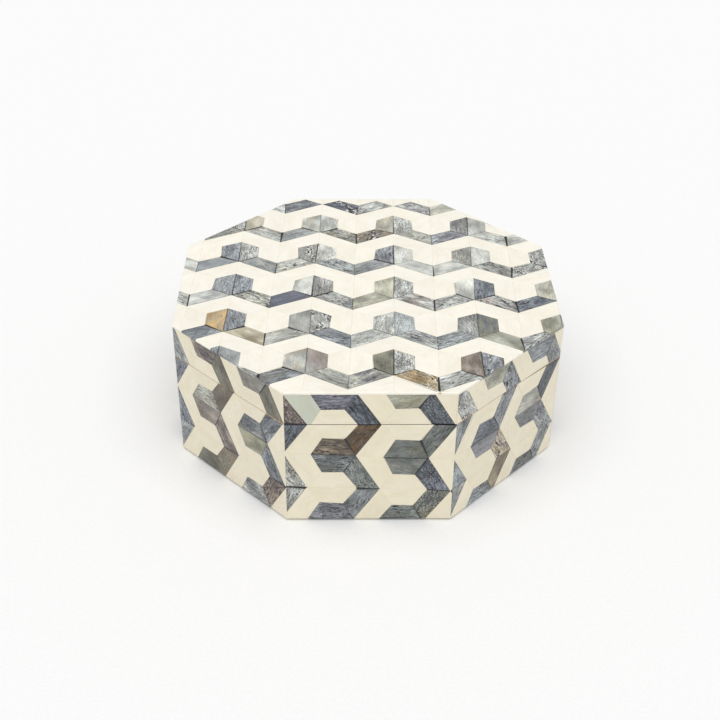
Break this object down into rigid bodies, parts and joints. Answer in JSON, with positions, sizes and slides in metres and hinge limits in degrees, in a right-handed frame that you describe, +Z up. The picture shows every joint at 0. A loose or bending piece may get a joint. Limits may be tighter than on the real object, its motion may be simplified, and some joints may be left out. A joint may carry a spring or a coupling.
{
  "type": "inlaid octagonal lidded box",
  "caption": "Low octagonal wooden keepsake box with a back-hinged flat lid, inlaid all over with bone tiles in a hexagon and zigzag pattern.",
  "frame": {"origin": "middle of the flat face that the box rests on", "axes": "+Z up, -Y out of the front, +X to the right as seen from the front; the lid is closed"},
  "size_m": [0.1524, 0.1524, 0.061],
  "materials": {
    "ivory_bone": "gloss",
    "slate_bone": "gloss",
    "wood": "satin",
    "velvet": "matte",
    "felt": "matte",
    "brass": "satin"
  },
  "bodies": {
    "base": {"under_felt": "felt", "base_panel": "wood", "base_floor_lining": "velvet", "base_wall_lining": "velvet", "base_wall_front": "wood", "base_wall_front_right": "wood", "base_wall_right": "wood", "base_wall_back_right": "wood", "base_wall_back": "wood", "base_wall_back_left": "wood", "base_wall_left": "wood", "base_wall_front_left": "wood", "hinge_base_leaf_left": "brass", "hinge_pin_left": "brass", "hinge_base_leaf_right": "brass", "hinge_pin_right": "brass", "hinge_screws_base": "brass", "base_inlay_ivory_front": "ivory_bone", "base_inlay_ivory_front_right": "ivory_bone", "base_inlay_ivory_right": "ivory_bone", "base_inlay_ivory_back_right": "ivory_bone", "base_inlay_ivory_back": "ivory_bone", "base_inlay_ivory_back_left": "ivory_bone", "base_inlay_ivory_left": "ivory_bone", "base_inlay_ivory_front_left": "ivory_bone", "base_inlay_slate_front": "slate_bone", "base_inlay_slate_front_right": "slate_bone", "base_inlay_slate_right": "slate_bone", "base_inlay_slate_back_right": "slate_bone", "base_inlay_slate_back": "slate_bone", "base_inlay_slate_back_left": "slate_bone", "base_inlay_slate_left": "slate_bone", "base_inlay_slate_front_left": "slate_bone"},
    "lid": {"lid_panel": "wood", "lid_lining": "velvet", "lid_skirt_front": "wood", "lid_skirt_front_right": "wood", "lid_skirt_right": "wood", "lid_skirt_back_right": "wood", "lid_skirt_back": "wood", "lid_skirt_back_left": "wood", "lid_skirt_left": "wood", "lid_skirt_front_left": "wood", "hinge_lid_leaf_left": "brass", "hinge_lid_leaf_right": "brass", "hinge_screws_lid": "brass", "lid_skirt_inlay_ivory": "ivory_bone", "lid_top_inlay_ivory": "ivory_bone", "lid_skirt_inlay_slate": "slate_bone", "lid_top_inlay_slate": "slate_bone"}
  },
  "joints": [
    {"name": "lid_hinge", "type": "hinge", "parent": "base", "child": "lid", "pos_m": [0, 0.0747, 0.0465], "axis": [-1, 0, 0], "range_deg": [0, 98]}
  ]
}
